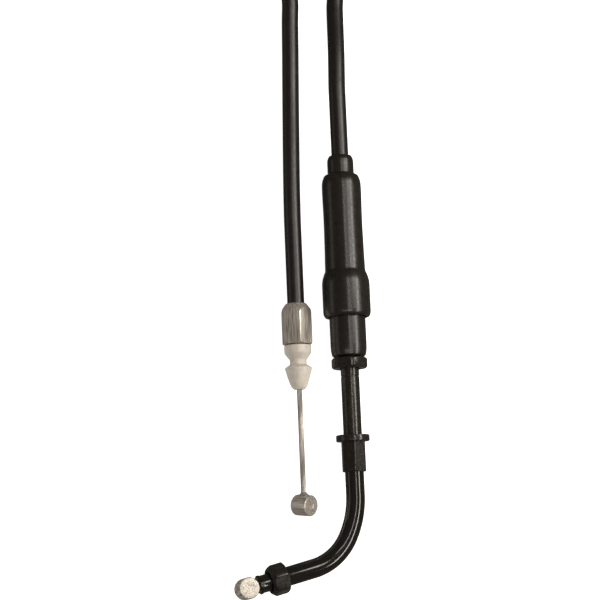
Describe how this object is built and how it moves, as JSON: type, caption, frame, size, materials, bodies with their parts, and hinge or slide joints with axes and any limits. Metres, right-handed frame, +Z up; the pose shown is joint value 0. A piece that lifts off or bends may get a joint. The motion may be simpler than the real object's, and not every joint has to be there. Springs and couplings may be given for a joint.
{
  "type": "throttle cable",
  "caption": "Motorcycle throttle cable: snap-in carburettor end, in-line adjuster under rubber boots, bent pipe with union nut, both nipples, and its spare length coiled and tied.",
  "frame": {"origin": "on the surface that the cable lies on, under the middle of its two ends without the free cable", "axes": "+Y from the two ends towards the coil, +Z up, +X from the carburettor end to the grip end"},
  "size_m": [0.0673, 0.2467, 0.0209],
  "materials": {
    "black_rubber": "moulded, satin",
    "black_vinyl": "extruded, semi-gloss",
    "black_paint": "gloss",
    "black_plating": "black zinc, satin",
    "zinc": "clear zinc, satin",
    "steel": "drawn wire",
    "nylon": "natural nylon",
    "white_liner": "smooth",
    "tie_plastic": "satin"
  },
  "bodies": {
    "cable": {"carb_ferrule": "zinc", "snap_fitting": "nylon", "carb_cover": "black_vinyl", "carb_winding": "steel", "carb_liner": "white_liner", "cable_run_left": "black_vinyl", "cable_coil": "black_vinyl", "cable_run_right": "black_vinyl", "coil_tie_left": "tie_plastic", "coil_tie_right": "tie_plastic", "grip_cover": "black_vinyl", "grip_winding": "steel", "grip_liner": "white_liner", "conduit_cap": "zinc"},
    "adjuster": {"adjuster_barrel": "black_plating", "lower_boot": "black_rubber"},
    "lock_nut": {"lock_nut": "black_plating"},
    "boot": {"upper_boot": "black_rubber"},
    "elbow": {"threaded_tube": "black_plating", "crimp_collar": "black_plating", "elbow_pipe": "black_paint", "elbow_liner": "white_liner"},
    "union_nut": {"union_nut": "black_plating"},
    "grip_end": {"grip_wire": "steel", "grip_nipple": "zinc"},
    "carb_end": {"carb_wire": "steel", "carb_nipple": "zinc"}
  },
  "joints": [
    {"name": "adjuster_turn", "type": "hinge", "parent": "cable", "child": "adjuster", "pos_m": [0.013, -0.0056, 0.0069], "axis": [-0.041, 0.9992, 0], "range_deg": [0, 3600]},
    {"name": "elbow_slide", "type": "slide", "parent": "cable", "child": "elbow", "axis": [0.041, -0.9992, 0], "range_m": [0, 0.01]},
    {"name": "lock_nut_turn", "type": "hinge", "parent": "adjuster", "child": "lock_nut", "pos_m": [0.013, -0.0056, 0.0069], "axis": [-0.041, 0.9992, 0], "range_deg": [0, 90]},
    {"name": "union_nut_turn", "type": "hinge", "parent": "elbow", "child": "union_nut", "pos_m": [0.00275, -0.06573, 0.01116], "axis": [-0.9119, -0.2701, 0.309], "continuous": true},
    {"name": "grip_pull", "type": "slide", "parent": "elbow", "child": "grip_end", "axis": [-0.9119, -0.2701, 0.309], "range_m": [0, 0.028], "deforming": ["grip_wire"]},
    {"name": "carb_pull", "type": "slide", "parent": "cable", "child": "carb_end", "axis": [-0.041, 0.9992, 0], "range_m": [0, 0.028]},
    {"name": "boot_slide", "type": "slide", "parent": "cable", "child": "boot", "axis": [-0.041, 0.9992, 0], "range_m": [0, 0.02]}
  ],
  "couplings": [
    {"joint": "adjuster_turn", "follows": "elbow_slide", "rad_per_m": 6283.2},
    {"joint": "carb_pull", "follows": "grip_pull", "ratio": 1}
  ]
}
